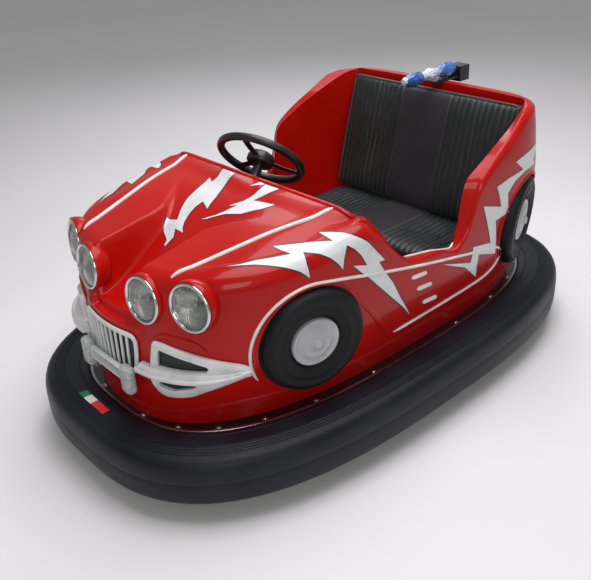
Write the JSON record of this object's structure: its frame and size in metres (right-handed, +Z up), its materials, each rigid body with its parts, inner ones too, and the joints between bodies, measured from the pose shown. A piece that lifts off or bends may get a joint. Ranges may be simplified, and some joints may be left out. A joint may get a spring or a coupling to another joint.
{
  "type": "bumper car",
  "caption": "Two-seat fairground bumper car: moulded open body with dummy road wheels and twin headlamps, rubber ring bumper, bench seat, steering wheel, steered drive wheel and rear rollers.",
  "frame": {"origin": "on the floor under the centre of the whole car", "axes": "+Z up, the nose points to -Y, the left side of the car is +X"},
  "size_m": [1.2, 1.966, 0.9278],
  "materials": {
    "body_red": "glossy",
    "rubber": "matte",
    "black": "glossy",
    "steel": "satin",
    "chrome": "polished",
    "silver": "satin",
    "vinyl": "satin",
    "glass": "glossy",
    "film": "glossy"
  },
  "bodies": {
    "chassis": {"accelerator_pedal": "rubber", "axle_bracket_left": "steel", "axle_bracket_right": "steel", "body_shell": "body_red", "bumper_hoop": "steel", "bumper_tyre": "rubber", "centre_bumper": "silver", "chassis_rail_left": "steel", "chassis_rail_right": "steel", "dash_panel": "black", "deck": "black", "front_dummy_tyre_left": "rubber", "front_dummy_tyre_right": "rubber", "front_hubcap_left": "silver", "front_hubcap_right": "silver", "grille": "silver", "inner_headlamp_bezel_left": "chrome", "inner_headlamp_bezel_right": "chrome", "inner_headlamp_lens_left": "glass", "inner_headlamp_lens_right": "glass", "outer_headlamp_bezel_left": "chrome", "outer_headlamp_bezel_right": "chrome", "outer_headlamp_lens_left": "glass", "outer_headlamp_lens_right": "glass", "overrider_left": "silver", "overrider_right": "silver", "pole_socket": "black", "pole_wrap": "film", "rear_axle": "steel", "rear_dummy_tyre_left": "rubber", "rear_dummy_tyre_right": "rubber", "rear_hubcap_left": "silver", "rear_hubcap_right": "silver", "seat_back": "vinyl", "seat_base": "black", "seat_cushion": "vinyl", "side_bumper_left": "silver", "side_bumper_right": "silver", "steering_column": "black"},
    "steering": {"steering_wheel": "black", "steering_boss": "black"},
    "drive_unit": {"drive_turntable": "steel", "drive_fork": "steel", "drive_axle": "steel", "drive_motor": "steel"},
    "drive_wheel": {"drive_wheel_tyre": "rubber", "drive_wheel_hub": "steel"},
    "rear_wheel_left": {"rear_wheel_left_tyre": "rubber", "rear_wheel_left_hub": "steel"},
    "rear_wheel_right": {"rear_wheel_right_tyre": "rubber", "rear_wheel_right_hub": "steel"}
  },
  "joints": [
    {"name": "steering_turn", "type": "hinge", "parent": "chassis", "child": "steering", "pos_m": [-0.1, -0.15001, 0.757], "axis": [-0.2498, 0.6995, 0.6695], "continuous": true},
    {"name": "drive_unit_turn", "type": "hinge", "parent": "chassis", "child": "drive_unit", "pos_m": [0, -0.50035, 0.206], "axis": [0, 0, 1], "continuous": true},
    {"name": "drive_wheel_spin", "type": "hinge", "parent": "drive_unit", "child": "drive_wheel", "pos_m": [0, -0.50035, 0.12], "axis": [1, 0, 0], "continuous": true},
    {"name": "rear_wheel_left_spin", "type": "hinge", "parent": "chassis", "child": "rear_wheel_left", "pos_m": [0.27, 0.42957, 0.085], "axis": [1, 0, 0], "continuous": true},
    {"name": "rear_wheel_right_spin", "type": "hinge", "parent": "chassis", "child": "rear_wheel_right", "pos_m": [-0.27, 0.42957, 0.085], "axis": [1, 0, 0], "continuous": true}
  ],
  "couplings": [
    {"joint": "steering_turn", "follows": "drive_unit_turn", "ratio": 2}
  ]
}
